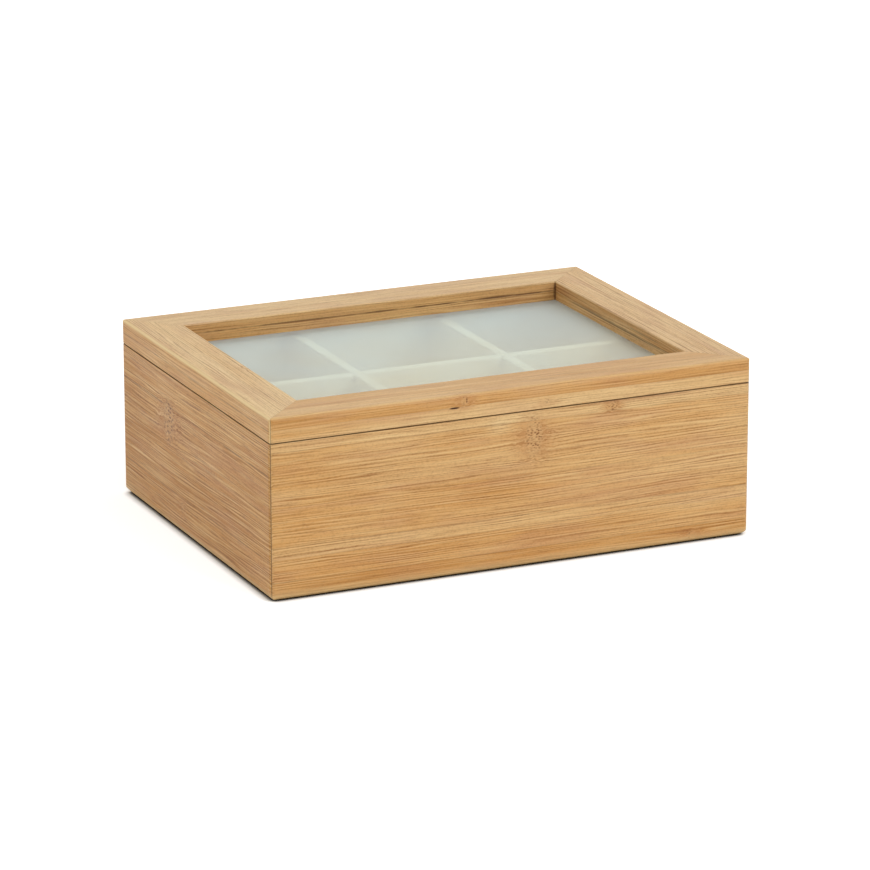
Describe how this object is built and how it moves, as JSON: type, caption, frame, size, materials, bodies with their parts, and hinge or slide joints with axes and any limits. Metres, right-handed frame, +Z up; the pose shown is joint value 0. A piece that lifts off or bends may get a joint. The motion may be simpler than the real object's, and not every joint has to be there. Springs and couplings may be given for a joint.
{
  "type": "tea bag organizer box",
  "caption": "Rectangular bamboo storage box with square compartments and a hinged frame lid that holds a clear pane.",
  "frame": {"origin": "middle of the base's underside, on the surface that the box stands on", "axes": "+X along the front to the right, +Y to the back where the hinges are, +Z up through the lid"},
  "size_m": [0.21, 0.1681, 0.075],
  "materials": {
    "bamboo_panel": "satin lacquered bamboo, flat strips",
    "bamboo_rail": "satin lacquered bamboo, two layers",
    "pale_plywood": "sanded pale plywood",
    "pane": "clear sheet with a light haze and a faint green tint",
    "brass_plate": "stamped, brass plated",
    "brass_pin": "drawn wire with peened ends",
    "brass_screw": "polished, brass plated"
  },
  "bodies": {
    "box": {"front_panel": "bamboo_panel", "back_panel": "bamboo_panel", "left_panel": "bamboo_panel", "right_panel": "bamboo_panel", "base_panel": "pale_plywood", "long_divider": "pale_plywood", "short_divider_left": "pale_plywood", "short_divider_right": "pale_plywood", "hinge_body_leaf_left": "brass_plate", "hinge_body_leaf_right": "brass_plate", "hinge_pin_left": "brass_pin", "hinge_pin_right": "brass_pin", "body_leaf_screws_left": "brass_screw", "body_leaf_screws_right": "brass_screw"},
    "lid": {"lid_front_rail": "bamboo_rail", "lid_back_rail": "bamboo_rail", "lid_left_rail": "bamboo_rail", "lid_right_rail": "bamboo_rail", "window_pane": "pane", "hinge_lid_leaf_left": "brass_plate", "hinge_lid_leaf_right": "brass_plate", "lid_leaf_screws_left": "brass_screw", "lid_leaf_screws_right": "brass_screw"}
  },
  "joints": [
    {"name": "lid_hinge", "type": "hinge", "parent": "box", "child": "lid", "pos_m": [0, 0.0823, 0.06475], "axis": [-1, 0, 0], "range_deg": [0, 100]}
  ]
}
